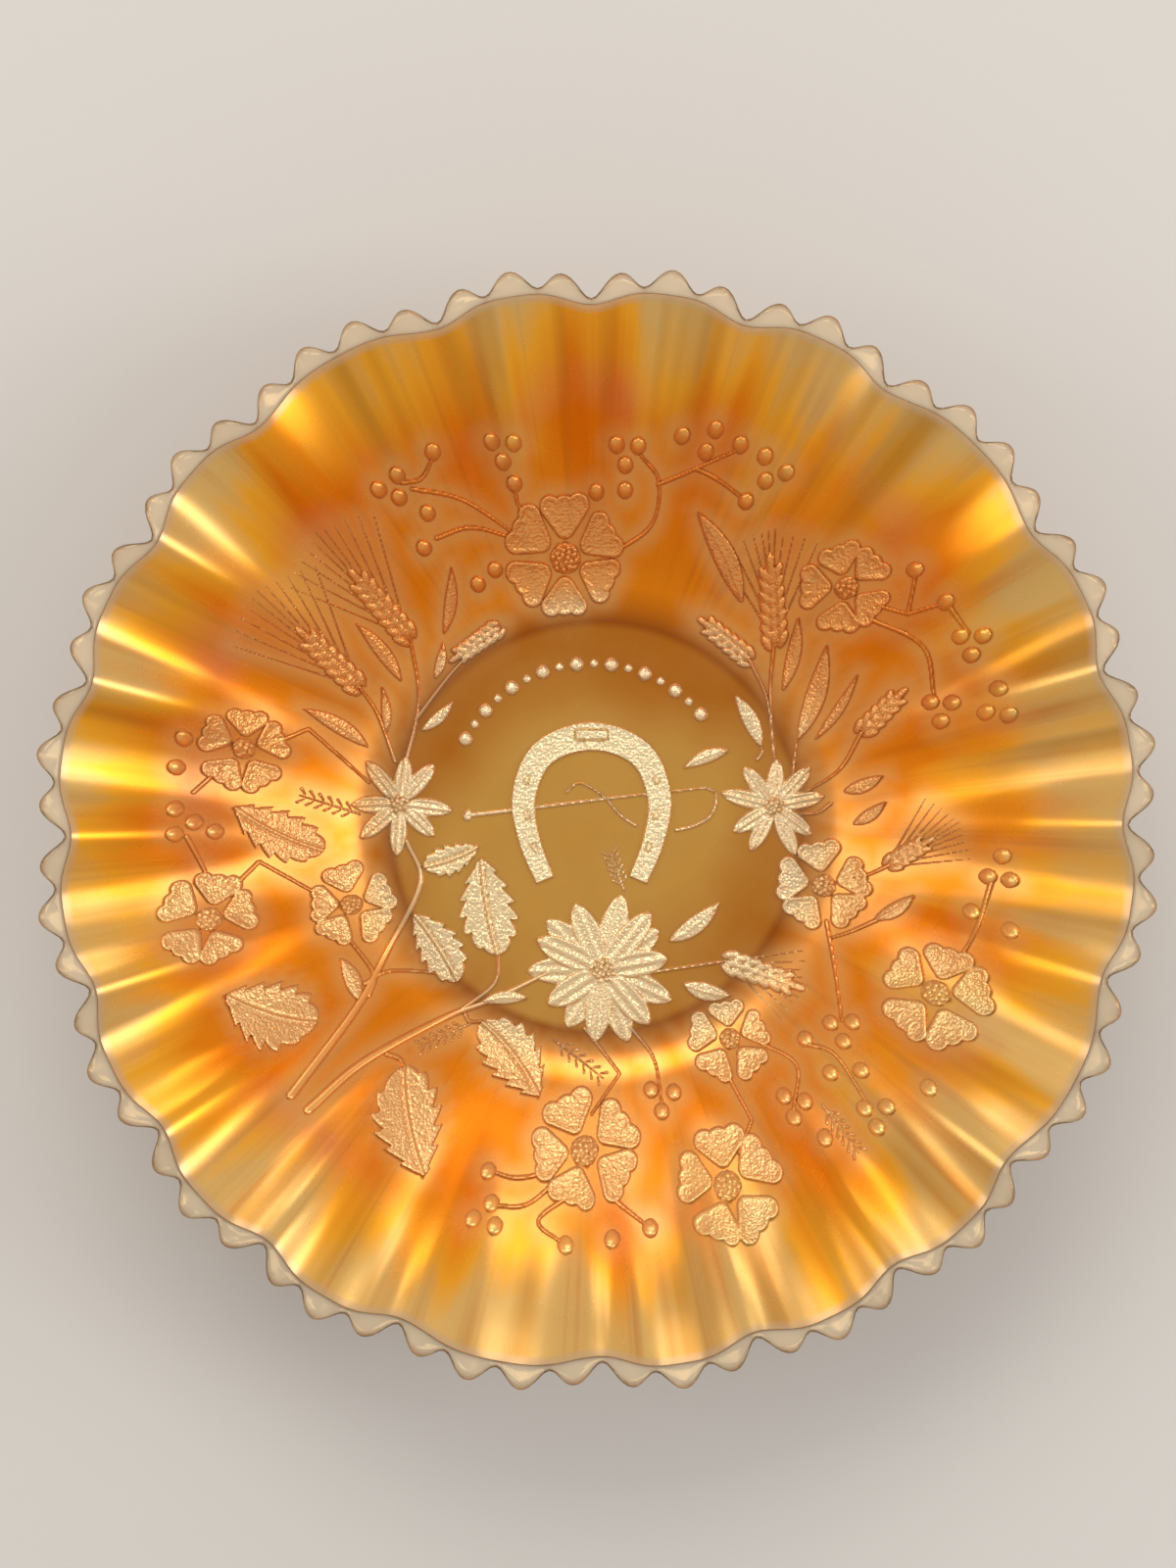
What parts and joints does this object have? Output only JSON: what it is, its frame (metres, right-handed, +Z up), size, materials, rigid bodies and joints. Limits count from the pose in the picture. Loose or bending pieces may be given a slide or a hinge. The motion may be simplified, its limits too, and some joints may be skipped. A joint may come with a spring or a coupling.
{
  "type": "pressed glass bowl",
  "caption": "Shallow round glass bowl with a ruffled, scalloped rim, ribbed outside, collar foot and a raised floral pattern inside; holds fruit or stands on display.",
  "frame": {"origin": "middle of the foot's underside, on the table", "axes": "+Z up out of the bowl's mouth; +Y towards the open sky of the horseshoe's toe, the top of the pattern; +X to the right of the pattern seen from above"},
  "size_m": [0.222, 0.2219, 0.0559],
  "materials": {
    "wall_glass": "iridescent marigold, satin",
    "well_glass": "iridescent marigold, thin",
    "edge_glass": "nearly clear, fire polished",
    "foot_glass": "nearly clear",
    "emblem_glass": "stippled, satin",
    "flower_glass": "stippled, satin",
    "leaf_glass": "stippled, satin",
    "berry_glass": "smooth, satin",
    "stem_glass": "smooth, satin"
  },
  "bodies": {
    "root": {"bead_band": "emblem_glass", "berries_base": "berry_glass", "berries_bottom": "berry_glass", "berries_left": "berry_glass", "berries_lower_right": "berry_glass", "berries_right": "berry_glass", "berries_right_low": "berry_glass", "berries_top_left": "berry_glass", "berries_top_right": "berry_glass", "blossom_bottom": "flower_glass", "blossom_bottom_right": "flower_glass", "blossom_left_inner": "flower_glass", "blossom_left_outer": "flower_glass", "blossom_lower_right": "flower_glass", "blossom_right_inner": "flower_glass", "blossom_right_outer": "flower_glass", "blossom_top": "flower_glass", "blossom_upper_left": "flower_glass", "blossom_upper_right": "flower_glass", "collar_foot": "foot_glass", "daisy_base": "flower_glass", "daisy_left": "flower_glass", "daisy_right": "flower_glass", "horseshoe": "emblem_glass", "leaf_base": "leaf_glass", "leaf_heel": "leaf_glass", "leaf_left": "leaf_glass", "leaf_left_low": "leaf_glass", "leaf_low": "leaf_glass", "leaf_small": "leaf_glass", "leaf_upright": "leaf_glass", "narrow_leaves_base": "leaf_glass", "narrow_leaves_left": "leaf_glass", "narrow_leaves_right": "leaf_glass", "piecrust_edge": "edge_glass", "riding_crop": "emblem_glass", "ruffled_wall": "wall_glass", "sprigs": "leaf_glass", "stalk_base": "stem_glass", "stalk_left": "stem_glass", "stems_base": "stem_glass", "stems_left": "stem_glass", "stems_right": "stem_glass", "stems_top": "stem_glass", "well_floor": "well_glass", "wheat_base": "leaf_glass", "wheat_left_inner": "leaf_glass", "wheat_left_outer": "leaf_glass", "wheat_left_small": "leaf_glass", "wheat_right_low": "leaf_glass", "wheat_right_outer": "leaf_glass", "wheat_right_small": "leaf_glass", "wheat_right_tall": "leaf_glass"}
  },
  "joints": []
}
